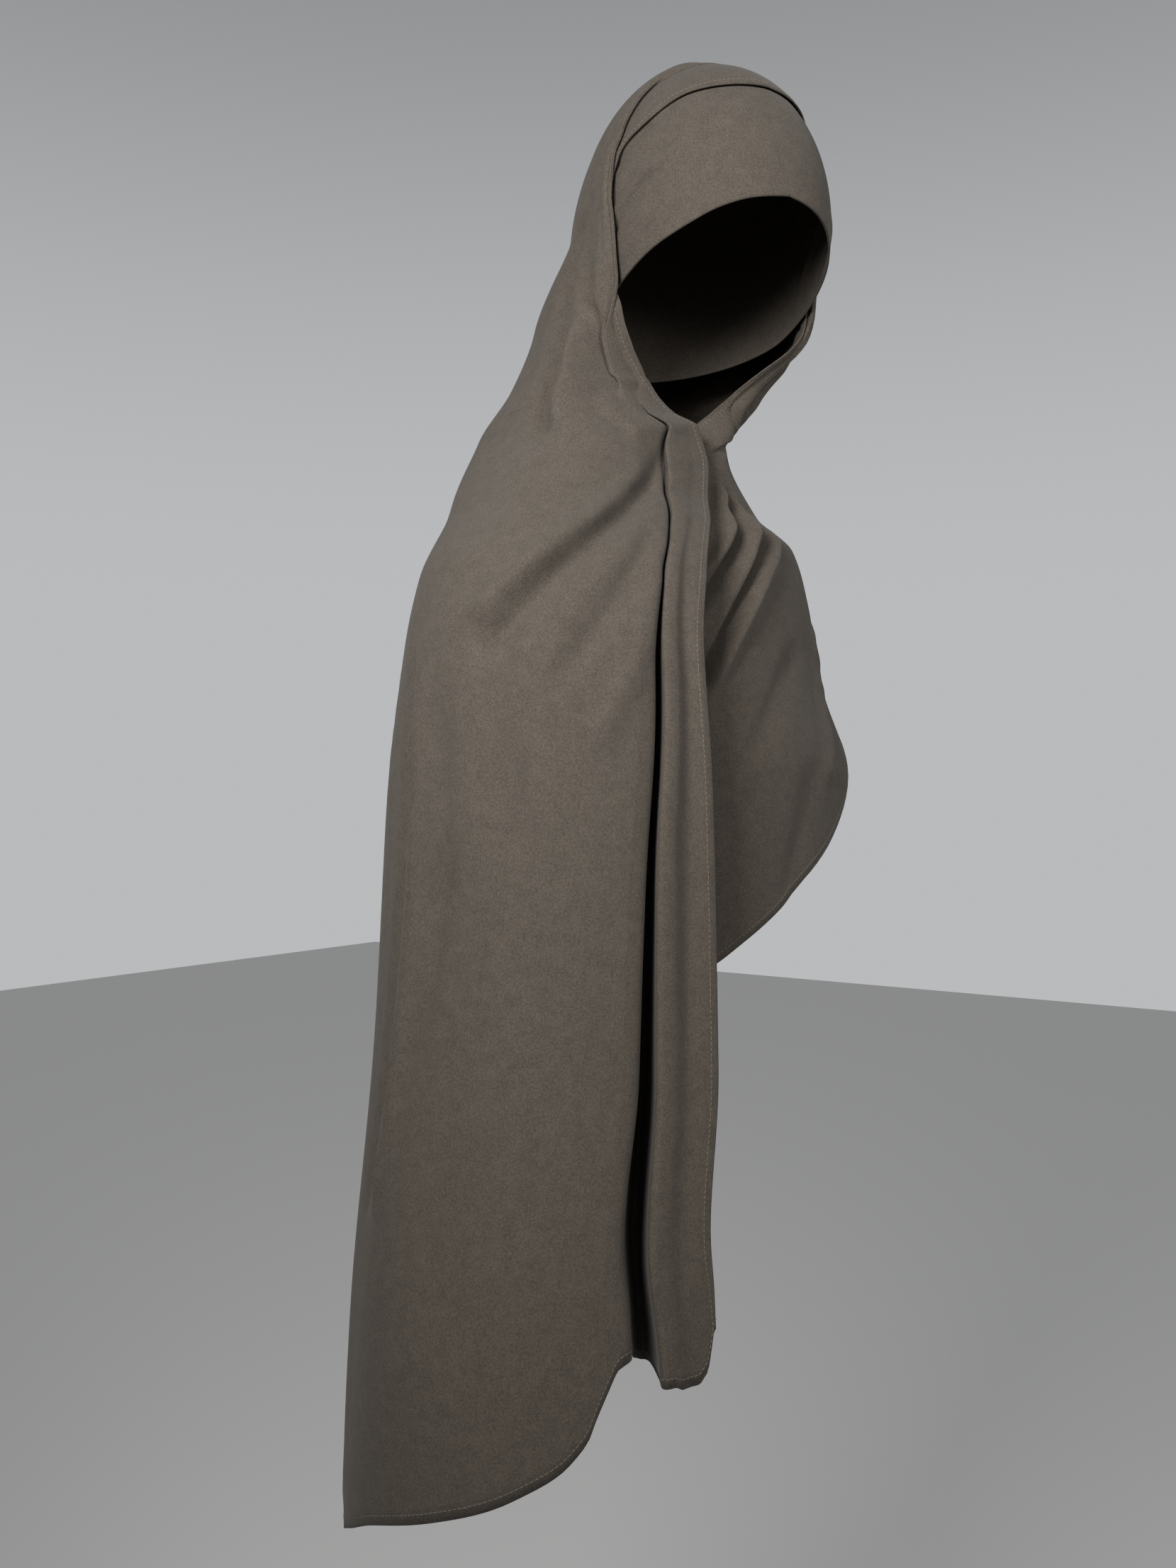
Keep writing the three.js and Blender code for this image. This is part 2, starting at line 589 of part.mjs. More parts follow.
// The sheet: a grid for each half, joined over the head and down the middle of the back
function veilGeometry() {
  const columns = STATIONS + OUTER_COLUMNS;
  const rows = HEAD_ROWS + FALL_ROWS;
  const courseOf = (row) => (row <= HEAD_ROWS
    ? row / HEAD_ROWS
    : 1 + ((row - HEAD_ROWS) / FALL_ROWS) ** 1.3);
  const points = [];
  const thickness = [];
  const names = new Map();
  const add = (side, column, row) => {
    const shared = row === 0 || column === columns;
    const name = shared ? `both ${column} ${row}` : `${side} ${column} ${row}`;
    if (!names.has(name)) {
      let p = clothPoint(side, column, columns, courseOf(row));
      if (shared) p = p.add(clothPoint(-side, column, columns, courseOf(row))).multiplyScalar(0.5);
      names.set(name, points.length);
      points.push(p);
      thickness.push(VEIL_WALL + (column === 0 || row === rows ? HEM_EXTRA : 0));
    }
    return names.get(name);
  };
  const quads = [];
  for (const side of [1, -1]) {
    for (let row = 0; row < rows; row += 1) {
      for (let column = 0; column < columns; column += 1) {
        const a = add(side, column, row);
        const b = add(side, column + 1, row);
        const c = add(side, column + 1, row + 1);
        const d = add(side, column, row + 1);
        quads.push(side > 0 ? [b, a, d, c] : [a, b, c, d]);
      }
    }
  }
  return thicken(points, quads, thickness);
}

// The under-cap's lower edge: the level it reaches at each angle from straight ahead
const CAP_EDGE = [
  { angle: 0, level: 1.02 },
  { angle: 18, level: 1.04 },
  { angle: 32, level: 1.07 },
  { angle: 47, level: 1.12 },
  { angle: 62, level: 1.17 },
  { angle: 79, level: 1.24 },
  { angle: 100, level: 1.32 },
  { angle: 180, level: 1.42 },
];
const CAP_COLUMNS = 40;
const CAP_ROWS = 11;

// A point on the head itself, which narrows below its widest part
function headPoint(angle, level, lift) {
  const drop = dropOfLevel(level);
  const below = Math.max(drop - CROWN_DROP, 0) / (HEAD_HEIGHT - CROWN_DROP);
  const ring = level < 1 ? Math.sin(level * Math.PI / 2) : Math.sqrt(Math.max(1 - below * below, 0.05));
  const across = (HEAD_HALF.across * ring + lift * (level < 1 ? ring : 1)) * Math.sin(rad(angle));
  const ahead = (HEAD_HALF.along * ring + lift * (level < 1 ? ring : 1)) * Math.cos(rad(angle));
  const turn = rad(HEAD_TURN);
  const crown = level < 1 ? lift * Math.cos(level * Math.PI / 2) : 0;
  return new THREE.Vector3(
    -across * Math.cos(turn) - ahead * Math.sin(turn),
    across * Math.sin(turn) - ahead * Math.cos(turn),
    -drop + crown,
  );
}

function capGeometry() {
  const position = [];
  const index = [];
  const rings = CAP_ROWS;
  for (const lift of [CAP_WALL, 0]) {
    position.push(...headPoint(0, 0, lift).toArray());
    for (let row = 1; row <= rings; row += 1) {
      for (let column = 0; column < CAP_COLUMNS; column += 1) {
        const angle = 360 * column / CAP_COLUMNS;
        const bottom = along(CAP_EDGE, 'angle', 'level', angle > 180 ? 360 - angle : angle);
        position.push(...headPoint(angle, bottom * row / rings, lift).toArray());
      }
    }
  }
  const skin = 1 + rings * CAP_COLUMNS;
  const at = (row, column) => (row === 0 ? 0 : 1 + (row - 1) * CAP_COLUMNS + column % CAP_COLUMNS);
  for (let column = 0; column < CAP_COLUMNS; column += 1) {
    for (let row = 0; row < rings; row += 1) {
      const a = at(row, column);
      const b = at(row, column + 1);
      const c = at(row + 1, column + 1);
      const d = at(row + 1, column);
      index.push(a, c, d, skin + a, skin + d, skin + c);
      if (row > 0) index.push(a, b, c, skin + a, skin + c, skin + b);
    }
    const c = at(rings, column + 1);
    const d = at(rings, column);
    index.push(d, c, skin + c, d, skin + c, skin + d);
  }
  const geometry = new THREE.BufferGeometry();
  geometry.setAttribute('position', new THREE.Float32BufferAttribute(position, 3));
  geometry.setIndex(index);
  geometry.computeVertexNormals();
  return geometry;
}

const veilCloth = new THREE.MeshStandardMaterial({ color: '#6b6256', roughness: 0.9 });
veilCloth.side = THREE.DoubleSide;
veilCloth.name = 'veil_jersey';
const capCloth = new THREE.MeshStandardMaterial({ color: '#645c53', roughness: 0.88 });
capCloth.side = THREE.DoubleSide;
capCloth.name = 'cap_jersey';

const group = new THREE.Group();
group.name = 'hijab';
const underCap = new THREE.Mesh(capGeometry(), capCloth);
underCap.name = 'under_cap';
const veil = new THREE.Mesh(veilGeometry(), veilCloth);
veil.name = 'veil';
group.add(underCap, veil);

export default group;
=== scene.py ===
# %% [markdown]
# # A long jersey hijab, as it hangs when worn
# The real thing is two pieces of fine jersey: a tight under-cap, and one large hemmed sheet that is
# laid over it, folded back along the temples, gathered under the jaw and dropped over one arm.
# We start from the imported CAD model, which gives the size and the place of both pieces, and make each
# of them again with many more faces, so that folds are round, hems have stitches and the knit shows.

# %% Load the frame
import math

import bpy
import numpy as np
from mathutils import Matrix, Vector


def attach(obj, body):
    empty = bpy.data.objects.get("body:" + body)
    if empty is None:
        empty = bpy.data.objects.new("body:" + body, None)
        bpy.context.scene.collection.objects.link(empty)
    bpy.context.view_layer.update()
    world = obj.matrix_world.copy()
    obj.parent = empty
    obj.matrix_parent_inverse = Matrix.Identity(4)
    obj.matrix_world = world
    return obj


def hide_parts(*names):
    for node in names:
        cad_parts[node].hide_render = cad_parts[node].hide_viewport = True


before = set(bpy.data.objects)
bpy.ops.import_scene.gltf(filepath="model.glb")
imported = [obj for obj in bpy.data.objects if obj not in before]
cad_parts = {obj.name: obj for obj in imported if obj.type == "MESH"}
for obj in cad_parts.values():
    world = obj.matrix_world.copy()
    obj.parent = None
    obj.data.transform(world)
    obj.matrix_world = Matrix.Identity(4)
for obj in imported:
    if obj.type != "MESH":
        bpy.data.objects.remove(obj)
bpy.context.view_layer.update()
bpy.ops.object.select_all(action="DESELECT")

# %% [markdown]
# Cloth has no straight lines, but its drape follows a body, and a body can be told in few numbers.
# All sizes here are in millimetres, worked out from the head and body that carry the cloth, and turned
# into metres only when a mesh is made. A table is written with its column names first, one row for
# each height or fold, and a smooth curve runs through its rows.

# %% Driving sizes
HEAD_WIDTH, HEAD_DEPTH, HEAD_HEIGHT = 152, 190, 234
CROWN_DROP = 106
HEAD_TURN = 26
SHOULDER_WIDTH, BODY_DEPTH = 400, 230
SHOULDER_DROP, VEIL_DROP = 339, 914
CAP_WALL, VEIL_WALL = 1.1, 1.1
LAYER_GAP, LAYER_PITCH = 1.2, 1.9
LEVEL_LENGTH = 176
MM = 0.001


def smooth(x, start, end):
    """0 before start, 1 after end, and an even S between them."""
    t = np.clip((np.asarray(x, float) - start) / (end - start), 0, 1)
    return t * t * (3 - 2 * t)


def mix(a, b, t):
    return a + (b - a) * t


def table(names, *rows):
    """A small table as {column name: numbers down that column}."""
    return dict(zip(names.split(), np.array(rows, float).T))


def along(rows, key, column, x):
    """The smooth value of a column at x, with no overshoot between the rows."""
    at, value = rows[key], rows[column]
    slope = np.diff(value) / np.diff(at)
    before, after = slope[:-1], slope[1:]
    product = before * after
    inner = np.where(product > 0, 2 * product / np.where(before + after == 0, 1, before + after), 0)
    tangent = np.concatenate([slope[:1], inner, slope[-1:]])
    x = np.clip(x, at[0], at[-1])
    i = np.clip(np.searchsorted(at, x, side="right") - 1, 0, len(at) - 2)
    step = at[i + 1] - at[i]
    t = (x - at[i]) / step
    return (
        (2 * t**3 - 3 * t**2 + 1) * value[i]
        + (t**3 - 2 * t**2 + t) * step * tangent[i]
        + (3 * t**2 - 2 * t**3) * value[i + 1]
        + (t**3 - t**2) * step * tangent[i + 1]
    )


# %% [markdown]
# The drape is a stack of rounded outlines, wide at the head, drawn in at the neck and wide again over
# the shoulders. Each half of an outline has its own reach sideways and forwards, because the right
# half of the sheet lies over the left. A place on it is told by an angle from straight ahead and by a
# level: 0 is the top of the head, 1 its widest part, and each further level is a hand's length lower.

# %% The outlines of the drape
COLUMNS = "drop right left front chest back under fly drape shift turn"
HEAD_ROWS = table(
    COLUMNS,
    (CROWN_DROP, 1, 1, 1, 1, 1, 1, 0.05, 0.02, 0, 1),
    (0.685 * HEAD_HEIGHT, 1.1, 0.97, 0.94, 0.94, 1.06, 0.9, 0.21, 0.12, 0.02, 1),
    (0.872 * HEAD_HEIGHT, 1.28, 0.7, 0.74, 0.62, 1.1, 0.72, 0.14, 0.3, 0.16, 0.8),
    (1.02 * HEAD_HEIGHT, 1.46, 0.56, 0.7, 0.46, 1.12, 0.56, 0.1, 0.42, 0.36, 0.6),
)
BODY_ROWS = table(
    COLUMNS,
    (mix(HEAD_HEIGHT, SHOULDER_DROP, 0.47), 0.71, 0.44, 0.66, 0.48, 0.96, 0.34, 0.04, 0.34, 0.33, 0.25),
    (mix(HEAD_HEIGHT, SHOULDER_DROP, 0.66), 0.79, 0.64, 0.77, 0.64, 1, 0.46, 0.01, 0.16, 0.33, 0.15),
    (SHOULDER_DROP, 0.93, 0.72, 0.94, 0.74, 1.04, 0.6, 0.01, 0.05, 0.33, 0.05),
    (mix(SHOULDER_DROP, VEIL_DROP, 0.1), 1.02, 0.8, 1.04, 0.82, 1.11, 0.68, 0, 0, 0.33, 0),
    (mix(SHOULDER_DROP, VEIL_DROP, 0.22), 1.05, 1, 1.12, 0.95, 1.13, 0.72, 0, 0, 0.33, 0),
    (mix(SHOULDER_DROP, VEIL_DROP, 0.48), 1.11, 1.06, 1.2, 1, 1.16, 0.76, 0, 0, 0.33, 0),
    (mix(SHOULDER_DROP, VEIL_DROP, 0.76), 1.2, 1.12, 1.28, 1.06, 1.26, 0.8, 0, 0, 0.33, 0),
    (VEIL_DROP, 1.24, 1.16, 1.34, 1.12, 1.32, 0.82, 0, 0, 0.33, 0),
)


def sized(rows, width, depth):
    """Turns the shares of a table into millimetres and degrees."""
    scale = dict.fromkeys(("right", "left", "under"), width / 2)
    scale.update(drop=1, turn=HEAD_TURN)
    return {name: values * scale.get(name, depth / 2) for name, values in rows.items()}


HEAD = sized(HEAD_ROWS, HEAD_WIDTH, HEAD_DEPTH)
BODY = sized(BODY_ROWS, SHOULDER_WIDTH, BODY_DEPTH)
OUTLINES = {name: np.concatenate([HEAD[name], BODY[name]]) for name in COLUMNS.split()}


def drop_of(level):
    """How far below the crown a level lies."""
    dome = CROWN_DROP * (1 - np.cos(np.minimum(level, 1) * math.pi / 2))
    return np.where(level < 1, dome, CROWN_DROP + (level - 1) * LEVEL_LENGTH)


def form_point(side, angle, level, lift=0, hug=1):
    """A place on the drape. side is 1 for the right half and -1 for the left."""
    drop = drop_of(level)
    x = np.maximum(drop, CROWN_DROP)
    on_crown = np.minimum(level, 1) * math.pi / 2
    size = {name: along(OUTLINES, "drop", name, x) for name in COLUMNS.split()[1:]}
    stand_off = size["fly"] * smooth(level, 0.7, 1.15) * smooth(abs(angle), 82, 128) + lift
    if side < 0:
        bridge = smooth(level, 0.8, 1.15) * smooth(angle, 95, 130) * (1 - smooth(angle, 150, 180))
        stand_off = stand_off + size["drape"] * bridge
    reach = size["right"] if side > 0 else np.where(angle < 0, size["under"], size["left"])
    front = size["front"] if side > 0 else size["chest"]
    ahead = np.where(abs(angle) > 90, size["back"], front)
    a = np.radians(angle)
    dome = np.sin(on_crown)
    sideways = side * (reach * hug + stand_off) * dome * np.sin(a)
    forwards = (ahead * hug + stand_off) * dome * np.cos(a)
    turn = np.radians(size["turn"])
    return np.stack(
        [
            -sideways * np.cos(turn) - forwards * np.sin(turn),
            sideways * np.sin(turn) - forwards * np.cos(turn) + size["shift"],
            lift * np.cos(on_crown) - drop,
        ],
        axis=-1,
    )


print("the drape's outlines:", len(OUTLINES["drop"]), "heights")

# %% [markdown]
# The sheet is laid on this form in two halves that meet over the crown and down the back. A course is
# a line across a half: course 0 runs over the top of the head, course 1 from the jaw round the nape,
# and course 2 is the hem. The front edge frames the face, comes together under the jaw and parts
# again: the right half's edge falls straight, the left half's swings under it across the chest.

# %% The edges of the sheet
FACE_EDGE = table(
    "share angle level",
    (0, 0, 0.53),
    (0.15, 27, 0.55),
    (0.26, 46.5, 0.575),
    (0.38, 65, 0.665),
    (0.5, 79.5, 0.78),
    (0.6, 80.5, 0.94),
    (0.69, 78.5, 1.08),
    (0.78, 77, 1.23),
    (0.86, 76, 1.36),
    (0.93, 71, 1.46),
    (1, 60, 1.56),
)
FALL_EDGE = table(
    "course right right_level left left_level",
    (1, 60, 1.56, 60, 1.56),
    (1.03, 46, 1.613, 46, 1.62),
    (1.06, 23.4, 1.678, 22, 1.68),
    (1.1, 5.5, 1.726, -4, 1.73),
    (1.15, 5, 1.83, -26, 1.8),
    (1.22, 12, 2.0, -44, 1.92),
    (1.34, 27, 2.31, -56, 2.16),
    (1.46, 31.5, 2.62, -62, 2.46),
    (1.62, 32.3, 3.18, -66, 2.86),
    (1.8, 32.4, 3.96, -69, 3.32),
    (1.92, 34.2, 4.46, -70.5, 3.62),
    (1.97, 33.6, 4.64, -70.9, 3.77),
    (2, 33.4, 4.76, -71, 3.84),
)
RIGHT_HEM = table(
    "angle level",
    (33.4, 4.76),
    (34.3, 4.86),
    (35.5, 4.894),
    (36.6, 4.916),
    (39.5, 4.914),
    (41, 4.9),
    (43.3, 4.9),
    (45.6, 4.872),
    (46.8, 4.832),
    (48, 4.804),
    (50.2, 4.818),
    (51.8, 4.872),
    (52.9, 4.916),
    (53.8, 4.952),
    (55, 5.01),
    (56.4, 5.047),
    (60, 5.11),
    (66, 5.168),
    (72, 5.215),
    (84, 5.28),
    (101, 5.37),
    (114, 5.475),
    (124, 5.545),
    (150, 5.42),
    (180, 4.9),
)
LEFT_HEM = table(
    "angle level",
    (-71, 3.84),
    (-35, 3.68),
    (-23, 3.59),
    (-7, 3.46),
    (9, 3.3),
    (17, 3.2),
    (26, 3.08),
    (35, 2.95),
    (50, 2.82),
    (80, 2.8),
    (120, 3.5),
    (155, 4.5),
    (180, 4.9),
)
BACK_TOP, BACK_NAPE = 0.6, 1.78


def lay_below_jaw(side, share, course):
    """Angle and level of a place from the jaw down. share runs from the front edge to the back."""
    key, hem = ("right", RIGHT_HEM) if side > 0 else ("left", LEFT_HEM)
    edge = along(FALL_EDGE, "course", key, course)
    edge_level = along(FALL_EDGE, "course", key + "_level", course)
    spread = mix(FALL_EDGE[key][0], FALL_EDGE[key][-1], smooth(course, 1, 1.55))
    angle = mix(mix(edge, spread, smooth(share, 0.05, 0.5)), 180, share)
    r = np.maximum(course - 1, 0)
    even = mix(mix(1.66, BACK_NAPE, share), along(hem, "angle", "level", angle), r * (0.55 + 0.45 * r))
    near = mix(0.3, 0.012, smooth(r, 0.7, 1))
    return angle, mix(edge_level, even, smooth(share / near, 0, 1) ** 0.8)


def flat(angle, level):
    """The head seen from above, unrolled: the crown is the middle and the distance is the level."""
    a = np.radians(angle)
    return np.stack(np.broadcast_arrays(level * np.sin(a), level * np.cos(a)), axis=-1)


def lay_over_head(side, share, course):
    """Fills the patch between the crown line, the face's edge, the nape line and the back."""
    s, t = share[..., None], np.minimum(course, 1)[..., None]
    face_angle = along(FACE_EDGE, "share", "angle", t[..., 0])
    face = flat(face_angle, along(FACE_EDGE, "share", "level", t[..., 0]))
    back = flat(180, mix(BACK_TOP, BACK_NAPE, t[..., 0]))
    start = FACE_EDGE["level"][0]
    seam = flat(0, mix(start, -BACK_TOP, s[..., 0]))
    one = np.ones_like(share)
    nape = flat(*lay_below_jaw(side, share, one))
    nape_front = flat(*lay_below_jaw(side, 0 * one, one))
    nape_back = flat(*lay_below_jaw(side, one, one))
    point = (
        (1 - t) * seam
        + t * nape
        + (1 - s) * face
        + s * back
        - (1 - s) * (1 - t) * flat(0, start)
        - s * (1 - t) * flat(0, -BACK_TOP)
        - (1 - s) * t * nape_front
        - s * t * nape_back
    )
    angle = np.degrees(np.arctan2(abs(point[..., 0]), point[..., 1]))
    return angle, np.maximum(np.hypot(point[..., 0], point[..., 1]), 0.001)


def lay_out(side, share, course):
    share, course = np.broadcast_arrays(np.asarray(share, float), np.asarray(course, float))
    above = lay_over_head(side, share, course)
    below = lay_below_jaw(side, share, course)
    return tuple(np.where(course < 1, a, b) for a, b in zip(above, below))


edge_drop = float(drop_of(RIGHT_HEM["level"][0]))
print("the right front edge hangs to", round(edge_drop), "mm below the crown")

# %% [markdown]
# Along the temples the sheet is folded back over itself in a Z, as it is when the front edge is
# pulled forward over a pin. Lower down the same folds open into a narrow strip, a deep valley beside
# it and the rounded edge of the broad panel. Eleven stations across the front tell where the cloth
# lies: how far in from the edge, and how many layers out.

# %% The folded front
STATIONS = 11
PLEAT_IN = table(
    "course " + " ".join(f"at{k}" for k in range(STATIONS)),
    (0, 0, 22, 44, 48, 52, 56, 60, 64, 68, 72, 80),
    (0.14, 0, 22, 44, 46, 48, 50, 52, 54, 58, 66, 80),
    (0.34, 0, 20, 40, 41.3, 40, 28, 26.6, 28, 38, 50, 66),
    (0.5, 1, 12, 22, 23.3, 22, 5, 3.6, 5, 14, 26, 42),
    (0.62, 6, 11, 16, 17.3, 16, 1, -0.4, 1, 9, 22, 36),
    (0.78, 5, 9, 14, 15.3, 14, 1, -0.4, 1, 10, 22, 36),
    (0.84, 1, 4, 7, 8, 8, 6, 6, 7, 10, 15, 27),
    (0.9, 0, 1.5, 3.5, 5, 6.5, 7.5, 9, 10.5, 12, 14.5, 24),
    (1, 0, 1.5, 3, 4.5, 6, 7, 8.5, 10, 11.5, 13.5, 22),
    (1.08, 0, 8, 16, 24, 30, 30, 30, 32, 35, 40, 49),
    (1.17, 0, 11, 20, 31, 42, 41.6, 41.4, 43.6, 46, 51, 59),
    (1.32, 0, 8.5, 19, 27.5, 35, 34.4, 34, 36, 38.4, 43, 52),
    (1.48, 0, 5, 14, 22, 30, 28.8, 28, 31.4, 35, 38, 47),
    (1.66, 0, 5.5, 18.5, 29.5, 38, 36.4, 35, 40, 44.5, 47, 57),
    (1.84, 0, 6, 19.5, 30.5, 40, 38.4, 37, 44, 51, 54, 64),
    (2, 0, 5.5, 18, 28, 38, 36.6, 35.5, 46, 57, 61, 72.5),
)
PLEAT_OUT = table(
    "course " + " ".join(f"at{k}" for k in range(STATIONS)),
    (0, 0, 0, 0, 0, 0, 0, 0, 0, 0, 0, 0),
    (0.14, 0, 0, 0, 0.5, 1, 1, 1.5, 2, 2, 2, 1),
    (0.34, 0, 0, 0, 0.5, 1, 1, 1.5, 2, 2, 1.8, 1),
    (0.5, 0, 0, 0, 0.5, 1, 1, 1.5, 2, 2.2, 1.4, 1.4),
    (0.62, 0, 0, 0, 0.5, 1, 1, 1.5, 2, 2.8, 0.6, 1.6),
    (0.78, 0, 0, 0, 0.5, 1, 1, 1.5, 2, 3, 0.3, 1.8),
    (0.84, 0, 0.4, 0.8, 0.6, 0.5, 0.9, 1.5, 2, 2.6, -0.2, 1.8),
    (0.9, 0, 0.5, 0.9, 0.4, -0.3, 0.5, 1.5, 2.1, 1.6, -1.2, 1.6),
    (1, 0, 0.6, 1.2, 0.5, -0.4, 0.5, 1.6, 2.1, 1.4, -1.2, 1.2),
    (1.08, 0, 0.5, 0.8, 1.2, 1.3, 0.1, -1.4, -1, 0.1, 0, 1),
    (1.17, 0, 0.2, 0.4, 1.2, 1.5, -0.2, -2.8, -2.6, -0.4, 0.6, 1.2),
    (1.32, 0, 0.2, 0, 1.6, 1.2, -1, -3.8, -3.4, -0.4, 1, 1.6),
    (1.48, 0, 0.2, -1, 1.6, 1.2, -3, -8, -8, -2.6, 0.6, 1.8),
    (1.66, 0, 0.2, -1.2, 1.8, 1, -5, -14, -14, -5, 0, 1.6),
    (1.84, 0, 0.2, -0.6, 1.6, 1, -6, -18, -19, -7, 0, 1.6),
    (2, 0, 0.2, 0, 1.4, 1, -6, -19, -20, -8, 0, 1.4),
)
HUG = table(
    "course right right_reach left left_reach",
    (0, 1, 0.1, 1, 0.1),
    (0.6, 1, 0.1, 1, 0.1),
    (0.69, 0.96, 0.1, 1, 0.1),
    (0.78, 0.89, 0.1, 0.985, 0.1),
    (0.86, 0.78, 0.1, 0.9, 0.1),
    (0.93, 0.64, 0.1, 0.74, 0.1),
    (1, 0.5, 0.11, 0.56, 0.12),
    (1.03, 0.47, 0.14, 0.48, 0.15),
    (1.06, 0.52, 0.17, 0.45, 0.18),
    (1.1, 0.64, 0.2, 0.46, 0.2),
    (1.15, 0.76, 0.24, 0.52, 0.22),
    (1.22, 0.84, 0.28, 0.64, 0.22),
    (1.34, 0.92, 0.3, 0.8, 0.22),
    (1.46, 0.97, 0.3, 0.9, 0.22),
    (1.62, 1, 0.3, 0.93, 0.22),
    (2, 1, 0.3, 0.92, 0.22),
)


def across_stations(rows, course, u):
    """The table's value at courses (down) and station numbers (across), rounded at every turn."""
    at = np.stack([along(rows, "course", f"at{k}", course) for k in range(STATIONS)], axis=-1)
    k = np.clip(np.floor(u).astype(int), 0, STATIONS - 2)
    t = np.clip(u - k, 0, 1)
    p = [at[:, np.clip(k + step, 0, STATIONS - 1)] for step in (-1, 0, 1, 2)]
    return 0.5 * (
        2 * p[1]
        + (p[2] - p[0]) * t
        + (2 * p[0] - 5 * p[1] + 4 * p[2] - p[3]) * t**2
        + (3 * p[1] - 3 * p[2] + p[3] - p[0]) * t**3
    )


print("the fold along the temple is up to", max(PLEAT_IN["at3"] - PLEAT_IN["at6"]), "mm deep")

# %% [markdown]
# Past the stations the cloth is one layer with soft folds that fan out from the gather under the jaw.
# Each is a bend from one place by a second to a third, given as angles and levels, with a width and
# a height in millimetres. A height below zero is a valley.

# %% The soft folds
FOLDS = {
    "valley below the head": (1, (98, 108, 75), (0.95, 1.34, 1.8), 9, -6.5),
    "ridge beside it": (1, (91, 87, 63), (1.2, 1.49, 1.82), 8, 4),
    "valley beside the face": (1, (90, 88, 42), (1.15, 1.545, 1.8), 6.5, -6),
    "fold from the knot": (1, (30, 61, 84), (1.9, 2.185, 2.49), 6.5, 6),
    "valley under it": (1, (24, 57, 79), (1.84, 2.25, 2.58), 9, -10),
    "second valley": (1, (38.5, 48, 62), (2.14, 2.385, 2.69), 8, -4),
    "ridge at the panel's edge": (1, (40, 41, 54.5), (2.31, 2.5, 2.88), 8, 3),
    "hollow below the arm": (1, (79, 78, 76), (2.5, 2.8, 3.2), 15, -4),
    "roll behind the arm": (1, (104, 98, 109), (2.5, 3.3, 4.4), 6, 4.5),
    "valley behind the roll": (1, (110, 103, 115), (2.5, 3.3, 4.4), 5, -4.5),
    "valley before the roll": (1, (96, 86, 100), (2.7, 3.3, 4.0), 9, -3),
    "faint hollow in the panel": (1, (72, 73, 70), (2.9, 3.25, 3.7), 8, -1.6),
    "broad hollow over the arm": (1, (88, 90, 88), (3.2, 3.7, 4.6), 34, -4),
    "long ridge behind the arm": (1, (124, 126, 127), (2.6, 3.8, 5.4), 16, 5),
    "hollow behind it": (1, (140, 140, 138), (2.4, 3.8, 5.4), 24, -11),
    "ridge down the back": (1, (160, 158, 154), (2.2, 3.6, 5.2), 22, 8),
    "first cowl roll": (-1, (9, -6, -27), (1.9, 2.1, 2.3), 4, 7),
    "first cowl valley": (-1, (14, -4.5, -29), (1.93, 2.145, 2.42), 4.5, -16),
    "second cowl roll": (-1, (18, -7.5, -27), (1.95, 2.24, 2.57), 4.5, 8),
    "second cowl valley": (-1, (20, -12.8, -30.4), (2.03, 2.305, 2.68), 5, -16),
    "third cowl roll": (-1, (24, -11, -32), (2.03, 2.355, 2.78), 6, 8),
    "hollow below the cowl": (-1, (16, -2, -16), (2.5, 2.72, 2.92), 9, -3.5),
    "hollow towards the hem": (-1, (8, 2, -6), (2.95, 3.15, 3.4), 9, -3),
    "fold over the left arm": (-1, (31, 27, 14), (2.38, 2.66, 3.0), 5, 4),
    "left back hollow": (-1, (118, 124, 134), (2.0, 2.8, 3.6), 24, -8),
    "left back ridge": (-1, (140, 146, 150), (2.0, 3.0, 4.2), 24, 9),
}
DEGREE_LENGTH = 2.6


def fold_height(side, angle, level):
    """How far all the folds of one half lift the cloth at a place."""
    total = np.zeros_like(angle)
    t = np.linspace(0, 1, 129)
    for half, angles, levels, width, height in FOLDS.values():
        if half != side:
            continue
        path = [(1 - t) ** 2 * v[0] + 2 * t * (1 - t) * v[1] + t * t * v[2] for v in (angles, levels)]
        sideways = (angle[..., None] - path[0]) * DEGREE_LENGTH
        upwards = (level[..., None] - path[1]) * LEVEL_LENGTH
        away = np.hypot(sideways, upwards)
        at = t[away.argmin(-1)]
        fade = smooth(at, -0.02, 0.2) * (1 - smooth(at, 0.8, 1.3) * 0.6)
        total += height * np.exp(-((away.min(-1) / width) ** 2)) * fade
    return total


print("soft folds:", len(FOLDS))

# %% [markdown]
# One function now says where any point of the sheet hangs. Its across number counts the stations and
# goes on past them to the middle of the back, and its course says how far down the point is.

# %% Where the cloth hangs
LAST_COLUMN = 30
REST_LIFT = CAP_WALL + LAYER_GAP + VEIL_WALL / 2
PROBE_SHARE = 0.08
DEGREES_PER_SHARE = 100
BACK_CROWDING, LEFT_CROWDING = 1.5, 1.25
RIPPLE_START, RIPPLE_PERIOD, RIPPLE_HEIGHT = 6, 1.1, 0.7
UNDERLAP_DEPTH = 6


def ripple_height(across, down):
    """Small wrinkles that run along the fold at the temple."""
    wave = np.sin((across - RIPPLE_START) * 2 * math.pi / RIPPLE_PERIOD)
    across_fade = smooth(across, RIPPLE_START, 6.4) * (1 - smooth(across, 8.2, 8.8))
    down_fade = smooth(down, 0.35, 0.5) * (1 - smooth(down, 0.9, 1))
    return RIPPLE_HEIGHT * wave * across_fade * down_fade


